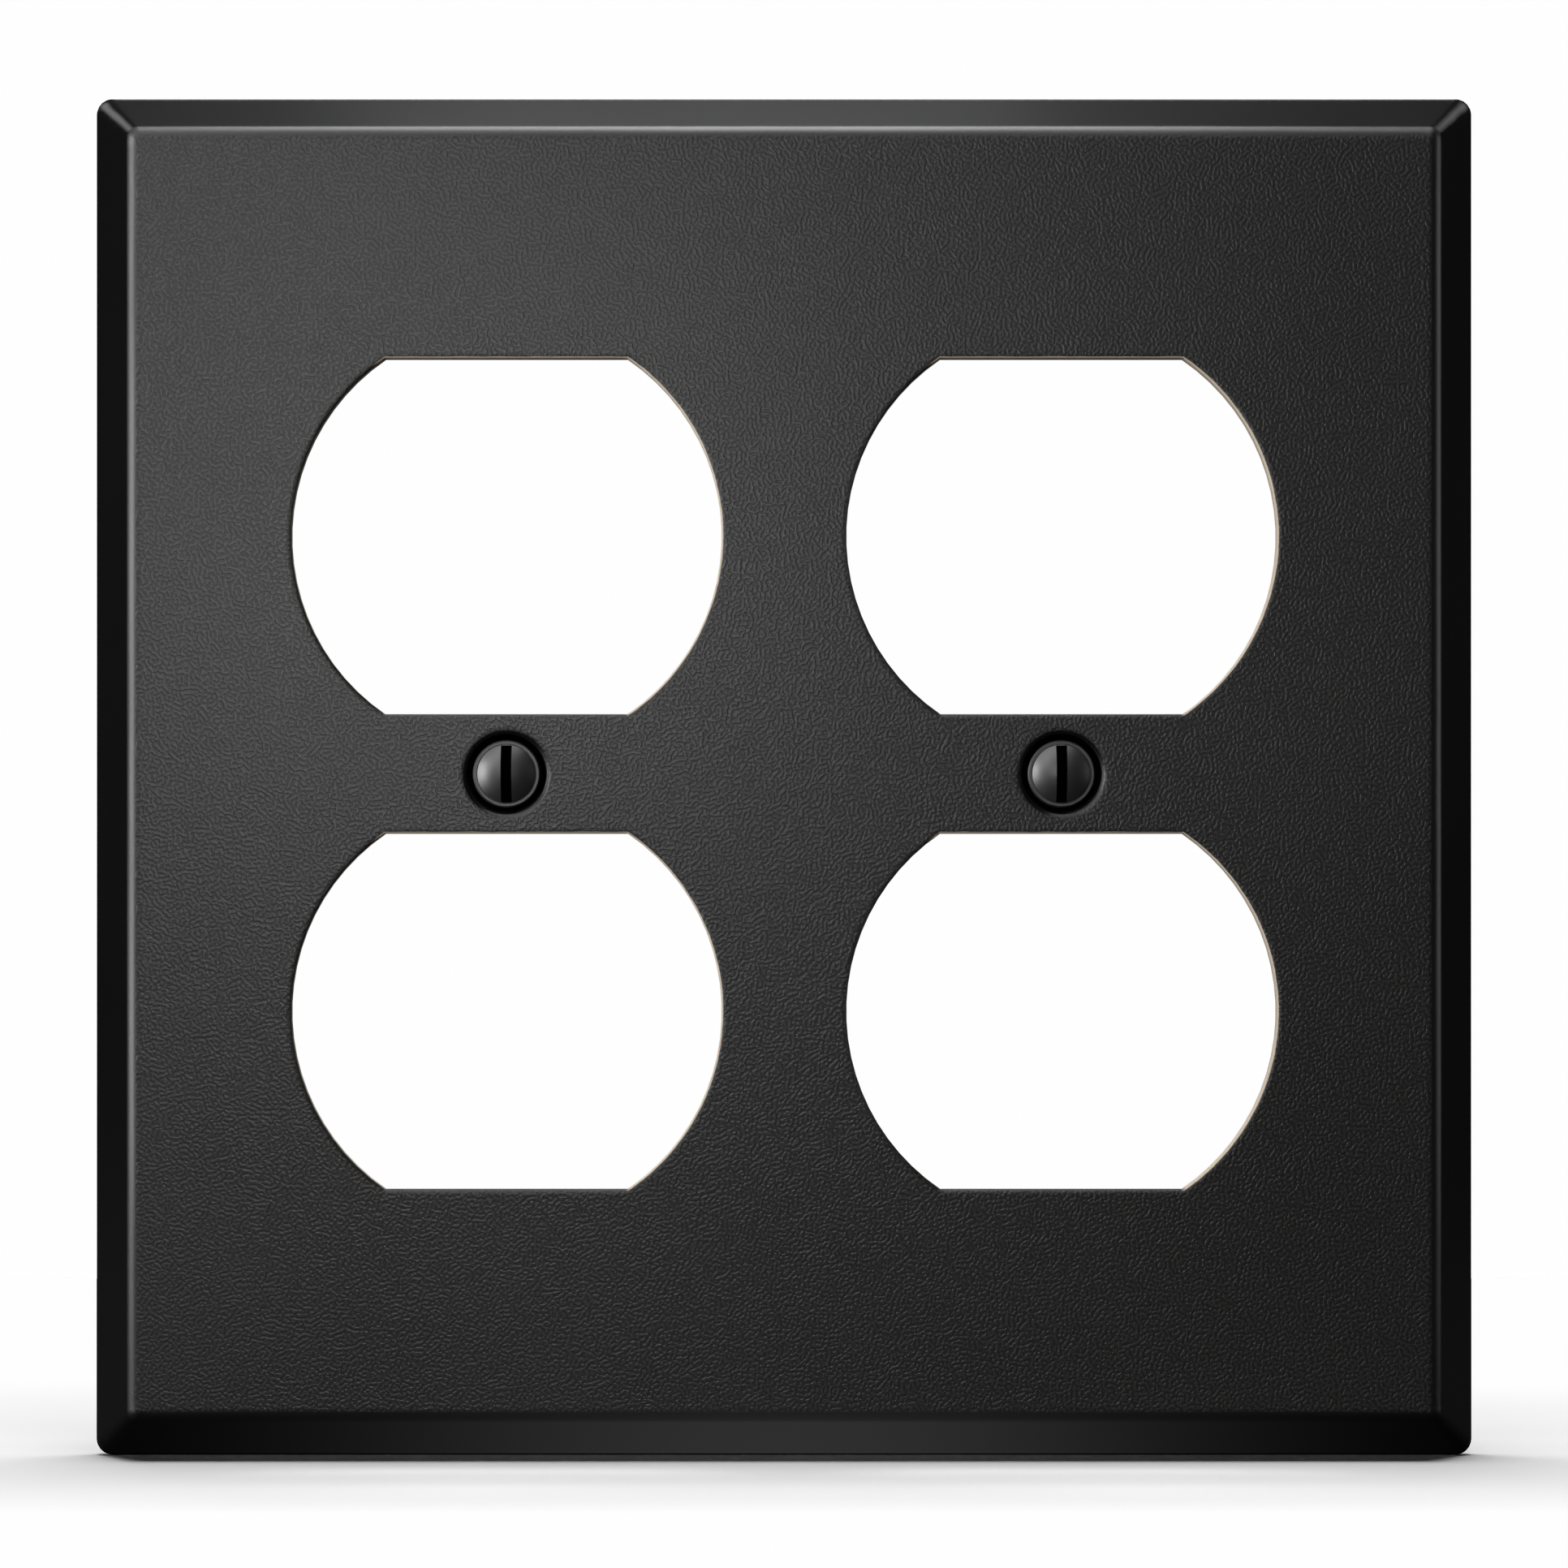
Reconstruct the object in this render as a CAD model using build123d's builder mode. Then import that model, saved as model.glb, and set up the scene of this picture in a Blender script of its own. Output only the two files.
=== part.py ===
from build123d import *
import math
import os

# Two-gang duplex wall plate: a stamped, wrinkle-coated steel cover with four
# receptacle openings and two captive slotted oval-head screws.
#
# Row frame: the wall is the plane y = 0, the room is on the -Y side.
# +X is to the right as seen from the room, +Z is up.
# Every "depth" below is measured backwards from the front face.

# ---------------------------------------------------------------- dimensions
# steel plate
PLATE_W = 115.9          # overall width, two-gang size (4 9/16 in)
PLATE_H = 114.3          # overall height (4 1/2 in)
PLATE_D = 5.6            # height of the front face above the wall
SHEET = 0.95             # steel thickness, coating included
BEVEL = 3.8              # how far the sloping border reaches inwards
SKIRT = 0.7              # straight rim that meets the wall
RIM_CORNER_R = 1.3       # corner radius, seen from the front, at the rim
FACE_CORNER_R = 0.7      # the same where the border meets the front face
FOLD_R = 1.2             # outside bend between front face and border
KNEE_R = 0.8             # outside bend between border and skirt

# receptacle openings
GANG = 46.04             # one device to the next (1 13/16 in)
FACE_PITCH = 39.4        # upper opening to lower opening
OPEN_D = 35.7            # diameter of the round sides
OPEN_FLATS = 29.5        # between the straight top and bottom
OPEN_EDGE_R = 0.15       # roll-over left by the punch on the front edge

# drawn recess for each screw head
RECESS_R = 3.75          # radius where the recess leaves the front face
RECESS_LIP_R = 0.5       # bend radius of its lip
RECESS_DRAFT = 12.0      # degrees between its wall and its axis
RECESS_DEPTH = 1.0       # front face to recess floor
RECESS_TOE_R = 0.2       # inside radius at the foot of its wall
HOLE_R = 2.0             # clearance hole for the 6-32 screw
SEAT_GAP = 0.03          # coating clearance under the screw head

# 6-32 UNC x 1/2 in slotted oval-head screw with a trimmed head
HEAD_R = 2.8             # outside radius of the head
HEAD_RING_DEPTH = 0.25   # front face to the top of the head's rim
HEAD_LAND = 0.2          # thickness of that rim
HEAD_RING_EDGE_R = 0.12  # rounding of the rim's outer edge
DOME_R = 2.42            # radius of the dome's foot
DOME_RISE = 0.78         # dome above the rim
GROOVE_W = 0.07          # hairline groove between the rim and the dome
GROOVE_DEPTH = 0.07
HEAD_ANGLE = 82.0        # included angle of the countersunk underside
SLOT_W = 0.9             # screwdriver slot
SLOT_DEPTH = 1.0         # from the top of the dome
SLOT_LEN = 4.72          # the slot ends inside the rim
SCREW_LEN = 12.7         # top of the cone to the tip
THREAD_R = 1.7526        # 6-32 major radius
PITCH = 25.4 / 32        # 0.79375
ROOT_R = 1.2657          # bottom of the thread
NECK_R = 1.24            # plain neck ahead of the thread
THREAD_START_Y = -1.6    # where the neck ends and the thread's lead-in starts
LEAD_IN = 0.3
POINT = 0.45             # chamfer at the tip

# retaining washer on the neck, one each side
WASHER_R = 3.4
WASHER_T = 0.5
WASHER_BORE_R = NECK_R + 0.04
WASHER_BACK_Y = THREAD_START_Y - 0.05
WASHER_MOUTH = 2.2       # mouth that snaps over the neck
WASHER_LEAD = 0.35       # flare at the mouth's outer corners

SCREW_X = (-GANG / 2, GANG / 2)

os.makedirs("parts", exist_ok=True)


def y_at(depth):
    """Row-frame y of a point this far behind the front face."""
    return -PLATE_D + depth


# ---------------------------------------------------------------- wall plate
# The inside of the sheet is the outside moved inwards by the sheet thickness,
# so the inner border starts and ends where the moved lines cross.
slope = math.atan2(PLATE_D - SKIRT, BEVEL)
shift_x = SHEET * math.sin(slope)
shift_h = SHEET * math.cos(slope)
run = math.cos(slope)
rise = math.sin(slope)
start_x = PLATE_W / 2 - shift_x
start_h = SKIRT - shift_h
inner_half = PLATE_W / 2 - SHEET
s_skirt = (start_x - inner_half) / run
inner_skirt_h = start_h + s_skirt * rise
s_face = (PLATE_D - SHEET - start_h) / rise
inner_bevel = inner_half - (start_x - s_face * run)

head_slope = math.tan(math.radians(HEAD_ANGLE / 2))
cone_depth = HEAD_RING_DEPTH + HEAD_LAND
seat_r0 = HEAD_R + SEAT_GAP / math.cos(math.radians(HEAD_ANGLE / 2))


def seat_r(depth):
    """Radius of the countersunk seat at this depth."""
    return seat_r0 - (depth - cone_depth) * head_slope


draft = math.radians(RECESS_DRAFT)
lip_r = RECESS_R - RECESS_LIP_R * math.cos(draft)
lip_depth = RECESS_LIP_R * (1 - math.sin(draft))
foot_r = lip_r - (RECESS_DEPTH - lip_depth) * math.tan(draft)
seat_end_depth = cone_depth + (seat_r0 - HOLE_R) / head_slope
boss_back = RECESS_DEPTH + SHEET

with BuildPart() as wall_plate:
    # skirt
    with BuildSketch(Plane.XZ):
        RectangleRounded(PLATE_W, PLATE_H, RIM_CORNER_R)
    extrude(amount=SKIRT)
    # sloping border and front face
    with BuildSketch(Plane.XZ.offset(SKIRT)):
        RectangleRounded(PLATE_W, PLATE_H, RIM_CORNER_R)
    with BuildSketch(Plane.XZ.offset(PLATE_D)):
        RectangleRounded(PLATE_W - 2 * BEVEL, PLATE_H - 2 * BEVEL, FACE_CORNER_R)
    loft(ruled=True)
    # outside bends
    fold = [e for e in wall_plate.edges() if abs(e.center().Y + PLATE_D) < 1e-4]
    fillet(fold, radius=FOLD_R)
    knee = [
        e
        for e in wall_plate.edges()
        if abs(e.center().Y + SKIRT) < 1e-4 and abs(e.bounding_box().size.Y) < 1e-4
    ]
    fillet(knee, radius=KNEE_R)
    # hollow back, the same form one sheet thickness further in
    with BuildSketch(Plane.XZ):
        RectangleRounded(PLATE_W - 2 * SHEET, PLATE_H - 2 * SHEET, RIM_CORNER_R - SHEET)
    extrude(amount=inner_skirt_h, mode=Mode.SUBTRACT)
    with BuildSketch(Plane.XZ.offset(inner_skirt_h)):
        RectangleRounded(PLATE_W - 2 * SHEET, PLATE_H - 2 * SHEET, RIM_CORNER_R - SHEET)
    with BuildSketch(Plane.XZ.offset(PLATE_D - SHEET)):
        RectangleRounded(
            PLATE_W - 2 * SHEET - 2 * inner_bevel,
            PLATE_H - 2 * SHEET - 2 * inner_bevel,
            RIM_CORNER_R - SHEET,
        )
    loft(ruled=True, mode=Mode.SUBTRACT)

    # four receptacle openings: circles with their top and bottom cut straight
    trim = (OPEN_D - OPEN_FLATS) / 2 + 0.5
    with BuildSketch(Plane.XZ.offset(PLATE_D + 1)):
        with GridLocations(GANG, FACE_PITCH, 2, 2):
            Circle(OPEN_D / 2)
            with Locations((0, (OPEN_FLATS + trim) / 2), (0, -(OPEN_FLATS + trim) / 2)):
                Rectangle(OPEN_D, trim, mode=Mode.SUBTRACT)
    extrude(amount=-(PLATE_D + 2), mode=Mode.SUBTRACT)
    rolled = [
        e
        for e in wall_plate.edges()
        if abs(e.center().Y + PLATE_D) < 1e-4
        and e.bounding_box().size.Y < 1e-4
        and abs(e.center().X) < GANG / 2 + OPEN_D / 2 + 1
        and abs(e.center().Z) < FACE_PITCH / 2 + OPEN_FLATS / 2 + 1
    ]
    fillet(rolled, radius=OPEN_EDGE_R)

    # drawn screw recesses: boss behind, recess in front, then the hole
    for x in SCREW_X:
        with BuildSketch(Plane(origin=(x, 0, 0), x_dir=(1, 0, 0), z_dir=(0, 0, 1))):
            with BuildLine():
                b0 = (0, y_at(SHEET * 0.5))
                b1 = (0, y_at(boss_back))
                outer_r = foot_r + SHEET / math.cos(draft)
                top_r = outer_r + (boss_back - SHEET) * math.tan(draft)
                Polyline(
                    b0,
                    b1,
                    (outer_r, y_at(boss_back)),
                    (top_r, y_at(SHEET)),
                    (top_r, y_at(SHEET * 0.5)),
                    b0,
                )
            make_face()
        revolve(axis=Axis((x, 0, 0), (0, 1, 0)))
    for x in SCREW_X:
        with BuildSketch(Plane(origin=(x, 0, 0), x_dir=(1, 0, 0), z_dir=(0, 0, 1))):
            with BuildLine():
                l0 = Line((0, y_at(-1)), (RECESS_R, y_at(-1)))
                l1 = Line(l0 @ 1, (RECESS_R, y_at(0)))
                # convex lip, from the face to the drafted wall
                mid = math.radians((90 + RECESS_DRAFT) / 2)
                a1 = ThreePointArc(
                    l1 @ 1,
                    (
                        RECESS_R - RECESS_LIP_R * math.cos(mid),
                        y_at(RECESS_LIP_R - RECESS_LIP_R * math.sin(mid)),
                    ),
                    (lip_r, y_at(lip_depth)),
                )
                l2 = Line(a1 @ 1, (foot_r, y_at(RECESS_DEPTH)))
                l3 = Line(l2 @ 1, (seat_r(RECESS_DEPTH), y_at(RECESS_DEPTH)))
                l4 = Line(l3 @ 1, (HOLE_R, y_at(seat_end_depth)))
                l5 = Line(l4 @ 1, (HOLE_R, y_at(boss_back + 1)))
                l6 = Line(l5 @ 1, (0, y_at(boss_back + 1)))
                Line(l6 @ 1, l0 @ 0)
            make_face()
        revolve(axis=Axis((x, 0, 0), (0, 1, 0)), mode=Mode.SUBTRACT)
    # soften the foot of each recess, the outer edge of each boss and its foot
    toes = [
        e
        for e in wall_plate.edges().filter_by(GeomType.CIRCLE)
        if abs(e.radius - foot_r) < 1e-3 and abs(e.arc_center.Y - y_at(RECESS_DEPTH)) < 1e-3
    ]
    fillet(toes, radius=RECESS_TOE_R)
    shoulders = [
        e
        for e in wall_plate.edges().filter_by(GeomType.CIRCLE)
        if abs(e.radius - outer_r) < 1e-3 and abs(e.arc_center.Y - y_at(boss_back)) < 1e-3
    ]
    fillet(shoulders, radius=0.8)
    roots = [
        e
        for e in wall_plate.edges().filter_by(GeomType.CIRCLE)
        if abs(e.radius - top_r) < 1e-3 and abs(e.arc_center.Y - y_at(SHEET)) < 1e-3
    ]
    fillet(roots, radius=0.35)
wall_plate.part.label = "wall_plate"
export_step(wall_plate.part, "parts/wall_plate.step")


# ---------------------------------------------------------------- screws
cone_end = cone_depth + (HEAD_R - NECK_R) / head_slope
tip_y = y_at(cone_depth) + SCREW_LEN
dome_sphere = (DOME_R**2 + DOME_RISE**2) / (2 * DOME_RISE)
groove_top = 7 / 16 * PITCH      # half width of the thread groove at the crest
groove_root = groove_top - (THREAD_R - ROOT_R) * math.tan(math.radians(30))


def make_screw(x, name):
    with BuildPart() as screw:
        with BuildSketch(Plane(origin=(x, 0, 0), x_dir=(1, 0, 0), z_dir=(0, 0, 1))):
            with BuildLine():
                apex = (0, y_at(HEAD_RING_DEPTH - DOME_RISE))
                half = math.asin(DOME_R / dome_sphere) / 2
                crown = ThreePointArc(
                    apex,
                    (
                        dome_sphere * math.sin(half),
                        y_at(HEAD_RING_DEPTH - DOME_RISE)
                        + dome_sphere * (1 - math.cos(half)),
                    ),
                    (DOME_R, y_at(HEAD_RING_DEPTH)),
                )
                Polyline(
                    crown @ 1,
                    (DOME_R + GROOVE_W * 0.35, y_at(HEAD_RING_DEPTH + GROOVE_DEPTH)),
                    (DOME_R + GROOVE_W * 0.65, y_at(HEAD_RING_DEPTH + GROOVE_DEPTH)),
                    (DOME_R + GROOVE_W, y_at(HEAD_RING_DEPTH)),
                    (HEAD_R - HEAD_RING_EDGE_R, y_at(HEAD_RING_DEPTH)),
                    (HEAD_R, y_at(HEAD_RING_DEPTH + HEAD_RING_EDGE_R)),
                    (HEAD_R, y_at(cone_depth)),
                    (NECK_R, y_at(cone_end)),
                    (NECK_R, THREAD_START_Y),
                    (THREAD_R, THREAD_START_Y + LEAD_IN),
                    (THREAD_R, tip_y - POINT),
                    (THREAD_R - POINT, tip_y),
                    (0, tip_y),
                    apex,
                )
            make_face()
        revolve(axis=Axis((x, 0, 0), (0, 1, 0)))
        # screwdriver slot, upright when the screw is home; it ends at the rim
        slot_floor = HEAD_RING_DEPTH - DOME_RISE + SLOT_DEPTH
        with BuildSketch(Plane.XZ.offset(-y_at(slot_floor))):
            with Locations((x, 0)):
                Rectangle(SLOT_W, SLOT_LEN)
        extrude(amount=SLOT_DEPTH + 1, mode=Mode.SUBTRACT)
        # 60-degree thread, cut so that its crests keep the major diameter
        begin = THREAD_START_Y - 0.4
        length = tip_y + 0.9 - begin
        path = Helix(
            pitch=PITCH,
            height=length,
            radius=THREAD_R,
            center=(x, begin, 0),
            direction=(0, 1, 0),
        )
        start = path @ 0
        radial = Vector(start.X - x, 0, start.Z).normalized()
        with BuildSketch(Plane(origin=start, x_dir=radial, z_dir=path % 0)) as cutter:
            with BuildLine():
                over = 0.12
                wide = groove_top + over * math.tan(math.radians(30))
                Polyline(
                    (over, wide),
                    (-(THREAD_R - ROOT_R), groove_root),
                    (-(THREAD_R - ROOT_R), -groove_root),
                    (over, -wide),
                    close=True,
                )
            make_face()
        sweep(path=path, is_frenet=True, mode=Mode.SUBTRACT)
    screw.part.label = name
    export_step(screw.part, f"parts/{name}.step")
    return screw.part


# ---------------------------------------------------------------- washers
def make_washer(x, name):
    with BuildPart() as washer:
        with BuildSketch(Plane.XZ.offset(-WASHER_BACK_Y)):
            with Locations((x, 0)):
                Circle(WASHER_R)
                Circle(WASHER_BORE_R, mode=Mode.SUBTRACT)
            with Locations((x, -WASHER_R / 2 - 0.5)):
                Rectangle(WASHER_MOUTH, WASHER_R + 1, mode=Mode.SUBTRACT)
        extrude(amount=WASHER_T)
        # flare where the mouth meets the outside, so that it can be pushed on
        mouth = [
            e
            for e in washer.edges().filter_by(Axis.Y)
            if abs(abs(e.center().X - x) - WASHER_MOUTH / 2) < 1e-3
            and e.center().Z < -WASHER_R * 0.8
        ]
        fillet(mouth, radius=WASHER_LEAD)
        # the mouth's corners at the bore, and the moulded outer edges
        throat = [
            e
            for e in washer.edges().filter_by(Axis.Y)
            if abs(abs(e.center().X - x) - WASHER_MOUTH / 2) < 1e-3
            and -WASHER_BORE_R < e.center().Z < 0
        ]
        fillet(throat, radius=0.12)
        rim = [
            e
            for e in washer.edges().filter_by(GeomType.CIRCLE)
            if abs(e.radius - WASHER_R) < 1e-3
        ]
        chamfer(rim, length=0.1)
    washer.part.label = name
    export_step(washer.part, f"parts/{name}.step")
    return washer.part


for x, side in zip(SCREW_X, ("left", "right")):
    make_screw(x, f"screw_{side}")
    make_washer(x, f"retaining_washer_{side}")
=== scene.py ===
import bpy
import math
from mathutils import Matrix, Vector


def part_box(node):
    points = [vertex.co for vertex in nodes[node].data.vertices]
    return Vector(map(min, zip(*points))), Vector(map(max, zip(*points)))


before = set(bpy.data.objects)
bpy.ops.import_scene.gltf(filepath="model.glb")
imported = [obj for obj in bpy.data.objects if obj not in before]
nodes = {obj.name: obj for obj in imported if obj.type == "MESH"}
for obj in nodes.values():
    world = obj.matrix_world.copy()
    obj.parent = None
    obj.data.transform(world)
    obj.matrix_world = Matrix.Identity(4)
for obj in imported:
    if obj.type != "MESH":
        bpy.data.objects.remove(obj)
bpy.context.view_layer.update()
scene = bpy.context.scene

plate_lo, plate_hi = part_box("wall_plate")
FACE_Y = plate_lo.y                      # front face
FLOOR_Z = plate_lo.z                     # the plate stands on its lower edge
HALF_W = (plate_hi.x - plate_lo.x) / 2
HALF_H = (plate_hi.z - plate_lo.z) / 2


# ---------------------------------------------------------------- node helpers
class Graph:
    """A small wrapper that makes and links shader nodes."""

    def __init__(self, name):
        self.material = bpy.data.materials.new(name)
        self.material.use_nodes = True
        self.tree = self.material.node_tree
        self.tree.nodes.clear()
        self.out = self.node("ShaderNodeOutputMaterial")

    def node(self, kind, **settings):
        n = self.tree.nodes.new(kind)
        for key, value in settings.items():
            setattr(n, key, value)
        return n

    def link(self, a, b):
        self.tree.links.new(a, b)

    def put(self, socket, value):
        if isinstance(value, bpy.types.NodeSocket):
            self.link(value, socket)
        else:
            socket.default_value = value

    def math(self, operation, a, b=None, c=None, clamp=False):
        n = self.node("ShaderNodeMath", operation=operation, use_clamp=clamp)
        self.put(n.inputs[0], a)
        if b is not None:
            self.put(n.inputs[1], b)
        if c is not None:
            self.put(n.inputs[2], c)
        return n.outputs[0]

    def vmath(self, operation, a, b=None, scale=None):
        n = self.node("ShaderNodeVectorMath", operation=operation)
        self.put(n.inputs[0], a)
        if b is not None:
            self.put(n.inputs[1], b)
        if scale is not None:
            self.put(n.inputs["Scale"], scale)
        return n.outputs[0]

    def noise(self, vector, scale, detail=0.0, roughness=0.5, out="Fac"):
        n = self.node("ShaderNodeTexNoise", noise_dimensions="3D")
        self.put(n.inputs["Vector"], vector)
        n.inputs["Scale"].default_value = scale
        n.inputs["Detail"].default_value = detail
        n.inputs["Roughness"].default_value = roughness
        return n.outputs[out]

    def gabor(self, vector, scale, frequency):
        """Band-limited noise in the plane of the vector's first two parts: worms of one width, running every way."""
        n = self.node("ShaderNodeTexGabor", gabor_type="2D")
        self.put(n.inputs["Vector"], vector)
        n.inputs["Scale"].default_value = scale
        n.inputs["Frequency"].default_value = frequency
        n.inputs["Anisotropy"].default_value = 0.0
        return n.outputs["Value"]

    def ramp(self, value, low, high, to_low=0.0, to_high=1.0, smooth=True):
        n = self.node("ShaderNodeMapRange")
        n.interpolation_type = "SMOOTHSTEP" if smooth else "LINEAR"
        n.clamp = True
        self.put(n.inputs["Value"], value)
        self.put(n.inputs["From Min"], low)
        self.put(n.inputs["From Max"], high)
        self.put(n.inputs["To Min"], to_low)
        self.put(n.inputs["To Max"], to_high)
        return n.outputs["Result"]

    def mix(self, factor, a, b):
        n = self.node("ShaderNodeMix", data_type="RGBA")
        self.put(n.inputs["Factor"], factor)
        self.put(n.inputs["A"], a)
        self.put(n.inputs["B"], b)
        return n.outputs["Result"]

    def lerp(self, factor, a, b):
        n = self.node("ShaderNodeMix", data_type="FLOAT")
        self.put(n.inputs["Factor"], factor)
        self.put(n.inputs["A"], a)
        self.put(n.inputs["B"], b)
        return n.outputs["Result"]

    def place(self):
        """Position on the object, in metres of the row frame."""
        return self.node("ShaderNodeTexCoord").outputs["Object"]

    def split(self, vector):
        n = self.node("ShaderNodeSeparateXYZ")
        self.link(vector, n.inputs[0])
        return n.outputs

    def bump(self, height, distance, strength=1.0, normal=None):
        n = self.node("ShaderNodeBump")
        self.put(n.inputs["Height"], height)
        self.put(n.inputs["Strength"], strength)
        n.inputs["Distance"].default_value = distance
        if normal is not None:
            self.link(normal, n.inputs["Normal"])
        return n.outputs["Normal"]

    def shader(self, **sockets):
        n = self.node("ShaderNodeBsdfPrincipled")
        for key, value in sockets.items():
            self.put(n.inputs[key.replace("_", " ")], value)
        self.link(n.outputs[0], self.out.inputs["Surface"])
        return n


# ---------------------------------------------------------------- plate coat
SCREW_X = 0.02302                        # the two screw axes
SCREW_Z = 0.0
OPEN_Z = 0.0197                          # opening centres, up and down from the middle
OPEN_R = 0.01785
OPEN_HALF = 0.01475
DOME_SPHERE = 0.0041441                  # radius of the screw heads' dome
DOME_CENTRE_Y = FACE_Y - 0.00053 + DOME_SPHERE


def wrinkle_coat():
    """Black powder coat that dried into fine worm-like wrinkles, about half a millimetre apart."""
    g = Graph("wrinkle_coat")
    p = g.place()
    x, y, z = g.split(p)

    # worms about half a millimetre apart, running every way over the face, with a finer set between them
    flat = g.node("ShaderNodeCombineXYZ")
    g.put(flat.inputs["X"], x)
    g.put(flat.inputs["Y"], z)
    worms = g.gabor(flat.outputs[0], 1480.0, 1.6)
    finer = g.gabor(flat.outputs[0], 2650.0, 1.5)
    both = g.math("ADD", g.math("MULTIPLY", worms, 0.75), g.math("MULTIPLY", finer, 0.25))
    soft = g.ramp(both, 0.40, 0.60)

    # the coat pulls thin and smooth where the sheet is bent, and stays thin inside the rim
    depth = g.ramp(y, FACE_Y + 0.000004, FACE_Y + 0.000040, 1.0, 0.0)
    relief = g.lerp(depth, 0.05, 1.0)

    # slow unevenness in how thickly it was sprayed
    slow = g.noise(p, 34.0, 3.0, 0.55)
    # painted shade and light: the wrinkle valleys are coloured darker and the crests lighter, standing for shade in the
    # valleys and light caught on the crests
    valley_painted_shade = g.mix(slow, (0.0040, 0.0034, 0.0044, 1), (0.0050, 0.0043, 0.0054, 1))
    crest_painted_highlight = g.mix(slow, (0.0138, 0.0146, 0.0130, 1), (0.0165, 0.0173, 0.0156, 1))
    bent = g.mix(slow, (0.0016, 0.0016, 0.0017, 1), (0.0023, 0.0023, 0.0024, 1))
    colour = g.mix(depth, bent, g.mix(soft, valley_painted_shade, crest_painted_highlight))

    # painted shade: the drawn recess round each screw head is dull, and coloured near black for the shade inside it
    dx = g.math("SUBTRACT", g.math("ABSOLUTE", x), SCREW_X)
    dz = g.math("SUBTRACT", z, SCREW_Z)
    r = g.math("SQRT", g.math("ADD", g.math("MULTIPLY", dx, dx), g.math("MULTIPLY", dz, dz)))
    recess_painted_shade = g.math("MULTIPLY", g.ramp(r, 0.00335, 0.00355, 1.0, 0.0), g.ramp(y, FACE_Y + 0.00010, FACE_Y + 0.00030))
    colour = g.mix(recess_painted_shade, colour, (0.0014, 0.0014, 0.0015, 1))

    # painted light and shade: a pale beige band along the right and top edges of the openings and on their left cut
    # walls stands for the light and shade lines at those edges, not for bare metal
    ux = g.math("SUBTRACT", x, g.math("MULTIPLY", g.math("SIGN", x), SCREW_X))
    uz = g.math("SUBTRACT", z, g.math("MULTIPLY", g.math("SIGN", z), OPEN_Z))
    ur = g.math("SQRT", g.math("ADD", g.math("MULTIPLY", ux, ux), g.math("MULTIPLY", uz, uz)))
    off = g.math("MAXIMUM", g.math("SUBTRACT", ur, OPEN_R), g.math("SUBTRACT", g.math("ABSOLUTE", uz), OPEN_HALF))
    ragged = g.math("ADD", off, g.math("MULTIPLY", g.math("SUBTRACT", g.noise(p, 700.0, 2.0), 0.5), 0.00010))
    right = g.ramp(ux, 0.0098, 0.0104)
    top = g.ramp(uz, 0.0140, 0.0146)
    cut = g.math("MULTIPLY", g.ramp(ux, -0.0104, -0.0098, 1.0, 0.0), g.ramp(y, FACE_Y + 0.00018, FACE_Y + 0.00026))
    edge_painted_light = g.math("MULTIPLY", g.ramp(ragged, 0.00010, 0.00017, 1.0, 0.0), g.math("MAXIMUM", g.math("MAXIMUM", right, top), cut))
    colour = g.mix(edge_painted_light, colour, (0.46, 0.385, 0.30, 1))
    relief = g.math("MULTIPLY", relief, g.math("SUBTRACT", 1.0, edge_painted_light))

    bend = g.lerp(g.ramp(y, FACE_Y + 0.00040, FACE_Y + 0.00060), 0.34, 0.19)
    bend = g.lerp(g.ramp(r, 0.00420, 0.00440, 1.0, 0.0), bend, 0.20)
    rough = g.math("ADD", g.math("MULTIPLY", slow, 0.06), g.lerp(depth, bend, g.lerp(soft, 0.33, 0.28)))
    rough = g.lerp(edge_painted_light, g.lerp(recess_painted_shade, rough, 0.8), 0.55)
    edge = g.node("ShaderNodeBevel", samples=4)
    edge.inputs["Radius"].default_value = 0.0006
    normal = g.bump(soft, 0.0000125, relief, edge.outputs[0])
    g.shader(Base_Color=colour, Roughness=rough, Normal=normal, Metallic=recess_painted_shade, IOR=1.5, Specular_IOR_Level=0.5)
    return g.material


def satin_black():
    """Thin smooth black finish of the screws, with faint turning marks; the slot is dull and painted near black for the
    shade inside it.
    """
    g = Graph("satin_black")
    p = g.place()
    x, y, z = g.split(p)
    slow = g.noise(p, 900.0, 2.0, 0.5)
    fine = g.noise(p, 14000.0, 2.0, 0.6)
    colour = g.mix(slow, (0.008, 0.008, 0.0085, 1), (0.012, 0.012, 0.0125, 1))

    # painted shade: inside the slot, within its width and below the dome's surface, the colour is near black
    dx = g.math("SUBTRACT", g.math("ABSOLUTE", x), SCREW_X)
    dz = g.math("SUBTRACT", z, SCREW_Z)
    rr = g.math("ADD", g.math("MULTIPLY", dx, dx), g.math("MULTIPLY", dz, dz))
    bulge = g.math("SQRT", g.math("MAXIMUM", g.math("SUBTRACT", DOME_SPHERE ** 2, rr), 0.0))
    below = g.math("ADD", g.math("SUBTRACT", y, DOME_CENTRE_Y), bulge)
    slot_painted_shade = g.math("MULTIPLY", g.ramp(below, 0.00006, 0.00016), g.ramp(rr, 0.00238 ** 2, 0.00242 ** 2, 1.0, 0.0))
    colour = g.mix(slot_painted_shade, colour, (0.0012, 0.0012, 0.0013, 1))

    rough = g.math("ADD", g.math("MULTIPLY", fine, 0.05), g.math("MULTIPLY", slow, 0.06))
    rough = g.lerp(slot_painted_shade, g.math("ADD", rough, 0.36), 0.8)
    normal = g.bump(fine, 0.0000015, 0.6)
    g.shader(Base_Color=colour, Roughness=rough, Normal=normal, Metallic=slot_painted_shade, IOR=1.5, Specular_IOR_Level=1.0)
    return g.material


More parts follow.
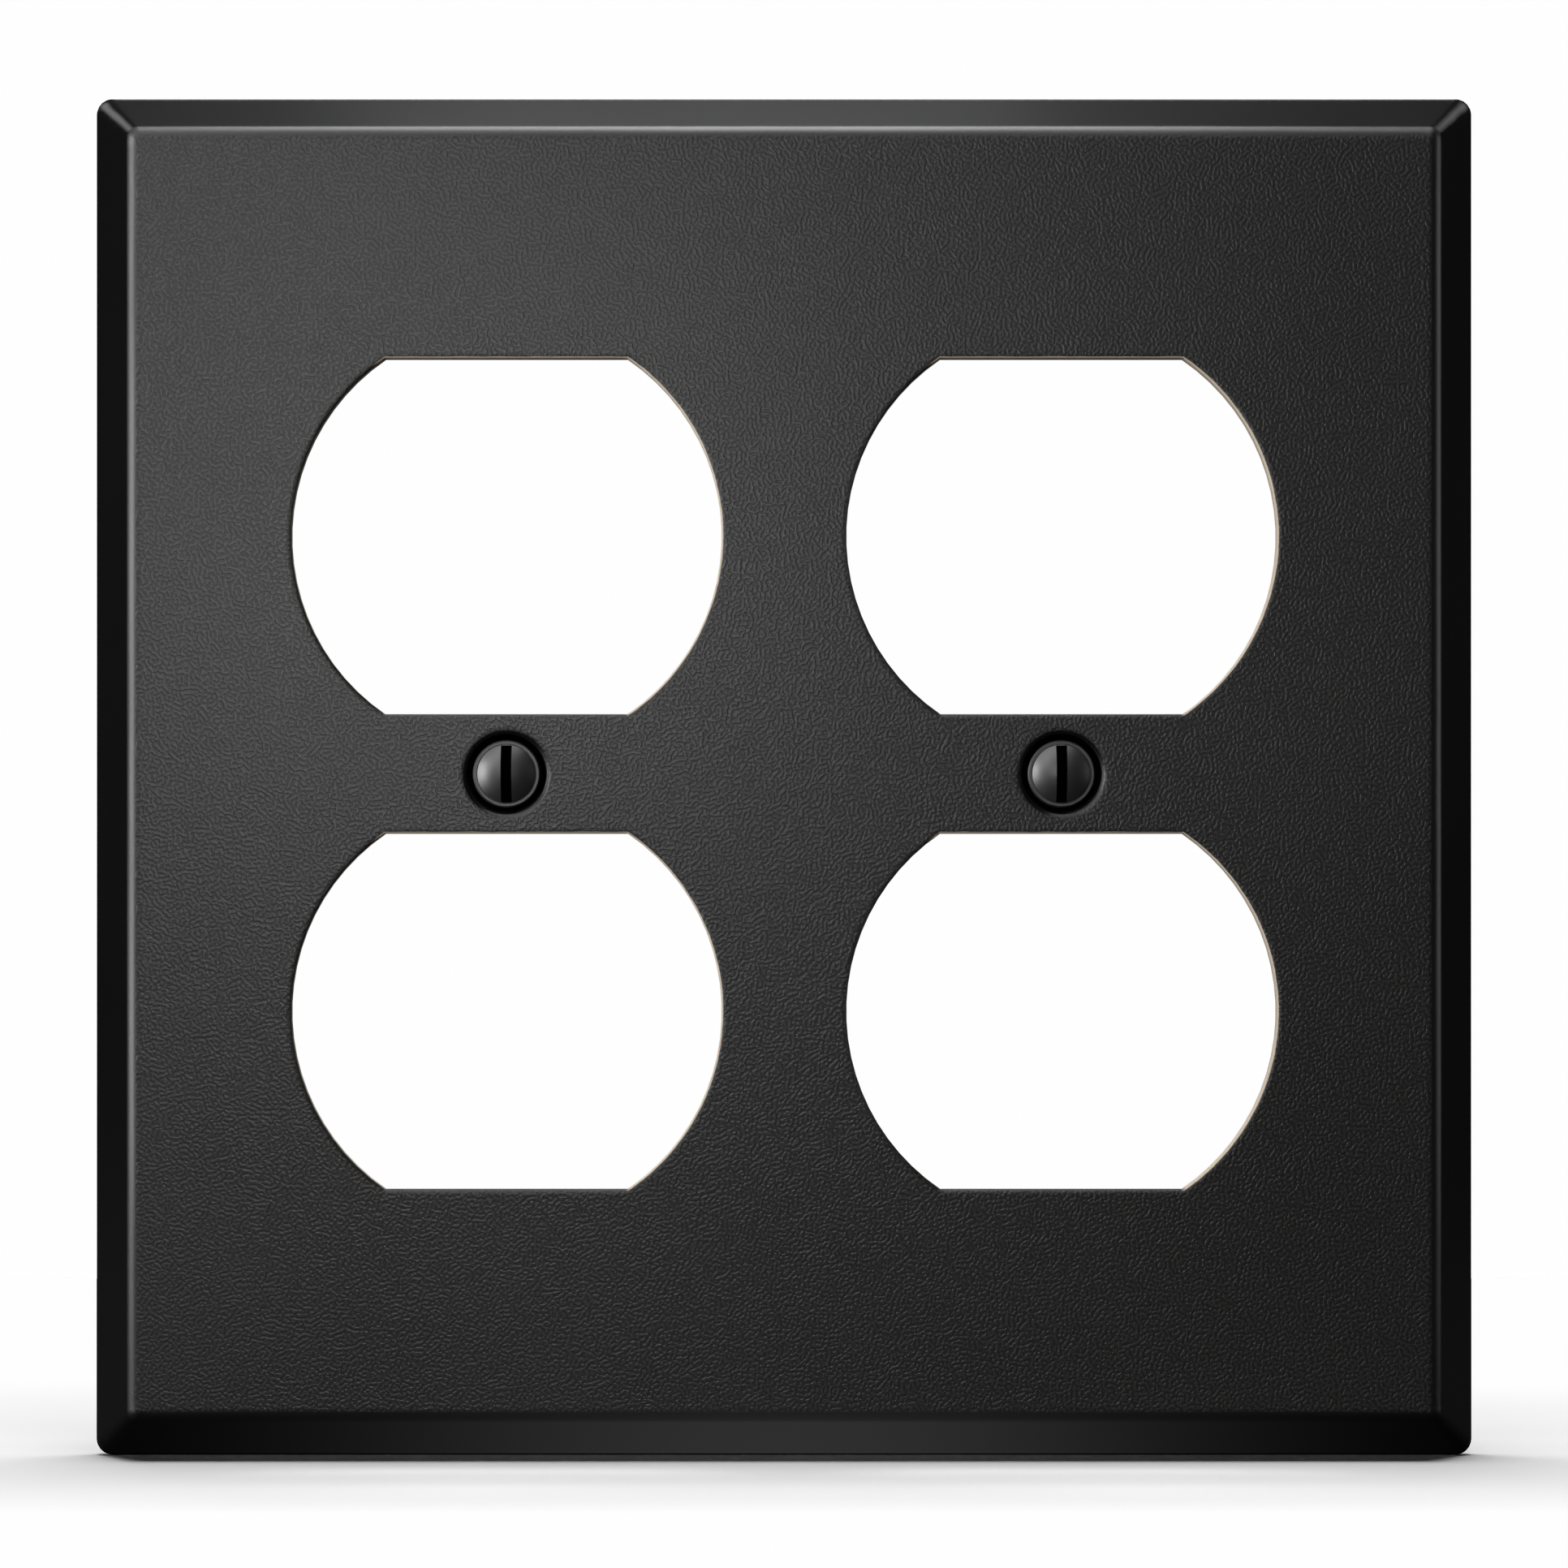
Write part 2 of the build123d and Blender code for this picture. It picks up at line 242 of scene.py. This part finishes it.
def nylon():
    """Natural nylon: waxy off-white with faint flow marks."""
    g = Graph("natural_nylon")
    p = g.place()
    slow = g.noise(p, 500.0, 3.0, 0.6)
    fine = g.noise(p, 7000.0, 2.0, 0.6)
    colour = g.mix(slow, (0.60, 0.575, 0.49, 1), (0.70, 0.68, 0.60, 1))
    rough = g.ramp(fine, 0.3, 0.7, 0.38, 0.52)
    normal = g.bump(fine, 0.000004, 0.5)
    g.shader(
        Base_Color=colour, Roughness=rough, Normal=normal, Metallic=0.0, IOR=1.53,
        Subsurface_Weight=0.35, Subsurface_Radius=(0.0012, 0.0011, 0.0008), Subsurface_Scale=1.0,
    )
    return g.material


def assign(node, material):
    o = nodes[node]
    if not o.material_slots:
        o.data.materials.append(material)
    for s in o.material_slots:
        s.material = material


coat, screw_black, washer_nylon = wrinkle_coat(), satin_black(), nylon()
assign("wall_plate", coat)
for side in ("left", "right"):
    assign(f"screw_{side}", screw_black)
    assign(f"retaining_washer_{side}", washer_nylon)


# ---------------------------------------------------------------- stage
def floor():
    mesh = bpy.data.meshes.new("floor")
    s, back = 0.45, 0.16
    mesh.from_pydata([(-s, -s, FLOOR_Z), (s, -s, FLOOR_Z), (s, back, FLOOR_Z), (-s, back, FLOOR_Z)], [], [(0, 1, 2, 3)])
    o = bpy.data.objects.new("floor", mesh)
    scene.collection.objects.link(o)
    g = Graph("pale_floor")
    g.shader(Base_Color=(0.06, 0.06, 0.06, 1), Roughness=0.9, Specular_IOR_Level=0.0)
    mesh.materials.append(g.material)
    o.is_shadow_catcher = True
    return o


ground = floor()

# the floor takes its light from overhead alone, so that nothing but the plate's foot shades it
not_floor = bpy.data.collections.new("lit_by_side_lights")
not_floor.objects.link(ground)
not_floor.collection_objects[0].light_linking.link_state = "EXCLUDE"


def around(azimuth, elevation, distance):
    """A point round the plate: azimuth 0 is straight in front, positive to the right."""
    a, e = math.radians(azimuth), math.radians(elevation)
    return (math.sin(a) * math.cos(e) * distance, -math.cos(a) * math.cos(e) * distance, math.sin(e) * distance)


def area(name, place, size, power, lights_floor=False, shadow=True, aim=(0, 0, 0)):
    light = bpy.data.lights.new(name, "AREA")
    light.shape = "RECTANGLE"
    light.size, light.size_y = size
    light.energy = power
    light.use_shadow = shadow
    o = bpy.data.objects.new(name, light)
    scene.collection.objects.link(o)
    o.location = place
    o.visible_camera = False
    o.rotation_mode = "QUATERNION"
    o.rotation_quaternion = (Vector(aim) - Vector(place)).to_track_quat("-Z", "Y")
    if not lights_floor:
        o.light_linking.receiver_collection = not_floor
    return o


def foot_glow():
    """A faint strip on the floor under the front of the plate, brightest in the middle, for its lower bevel to mirror."""
    mesh = bpy.data.meshes.new("foot_glow")
    z = FLOOR_Z + 0.00002
    mesh.from_pydata([(-0.058, FACE_Y - 0.010, z), (0.058, FACE_Y - 0.010, z), (0.058, -0.0008, z), (-0.058, -0.0008, z)], [], [(0, 1, 2, 3)])
    o = bpy.data.objects.new("foot_glow", mesh)
    scene.collection.objects.link(o)
    g = Graph("glow")
    x, y, z = g.split(g.place())
    across = g.math("EXPONENT", g.math("MULTIPLY", g.math("MULTIPLY", x, x), -1.0 / (2 * 0.0225 ** 2)))
    n = g.node("ShaderNodeEmission")
    g.put(n.inputs["Strength"], g.math("MULTIPLY", across, GLOW))
    g.link(n.outputs[0], g.out.inputs["Surface"])
    mesh.materials.append(g.material)
    o.visible_camera = False
    o.visible_diffuse = False
    o.visible_shadow = False
    return o


GLOW = 0.31
foot_glow()
area("overhead_wide", (-0.010, 0.030, 0.449), (0.20, 0.12), 1.05, lights_floor=True, aim=(-0.010, 0, 0))
area("overhead_back", (-0.020, 0.139, 0.428), (0.13, 0.10), 0.028, aim=(-0.020, 0, 0))
area("overhead_strip", around(-4, 76, 0.60), (0.50, 0.15), 1.1, lights_floor=True)
area("front_low", around(-8.2, 8.5, 0.7), (0.15, 0.15), 0.64)
area("upper_front", around(-12, 50, 0.6), (0.50, 0.35), 0.65)
area("left_panel", around(-44, 36, 0.7), (0.50, 0.50), 1.8)
area("left_edge", around(-78, 8, 0.7), (0.20, 0.45), 0.6)
area("left_edge_near", around(-64, 4, 0.7), (0.16, 0.45), 4.4)
area("mitre_left", (-0.40, 0.13, 0.43), (0.18, 0.18), 0.20)
area("mitre_right", (0.40, 0.13, 0.43), (0.18, 0.18), 0.13)
area("left_foot", (-0.16, -0.06, -0.035), (0.05, 0.04), 0.024)
area("right_edge", around(85, 8, 0.7), (0.20, 0.35), 0.62)
area("behind", around(180, 35, 0.7), (0.40, 0.40), 1.0, shadow=False)

world = bpy.data.worlds.new("studio")
scene.world = world
world.use_nodes = True
tree = world.node_tree
tree.nodes.clear()
out = tree.nodes.new("ShaderNodeOutputWorld")
mixer = tree.nodes.new("ShaderNodeMixShader")
path = tree.nodes.new("ShaderNodeLightPath")
dim = tree.nodes.new("ShaderNodeBackground")
dim.inputs["Color"].default_value = (1, 1, 1, 1)
dim.inputs["Strength"].default_value = 0.012
white = tree.nodes.new("ShaderNodeBackground")
white.inputs["Color"].default_value = (1, 1, 1, 1)
white.inputs["Strength"].default_value = 0.992
tree.links.new(path.outputs["Is Camera Ray"], mixer.inputs[0])
tree.links.new(dim.outputs[0], mixer.inputs[1])
tree.links.new(white.outputs[0], mixer.inputs[2])
tree.links.new(mixer.outputs[0], out.inputs["Surface"])

scene.view_settings.view_transform = "Standard"
scene.view_settings.look = "None"
scene.view_settings.exposure = 0.0
scene.view_settings.gamma = 1.0

# ---------------------------------------------------------------- camera
cam_data = bpy.data.cameras.new("camera")
cam = bpy.data.objects.new("camera", cam_data)
scene.collection.objects.link(cam)
cam.location = (0.0, -0.296, -0.015)
cam.rotation_euler = (math.radians(90), 0, 0)
cam_data.lens = 80.45
cam_data.sensor_width = 36.0
cam_data.shift_x = 0.0
cam_data.shift_y = 0.1089
cam_data.clip_start = 0.01
cam_data.clip_end = 20.0
scene.camera = cam
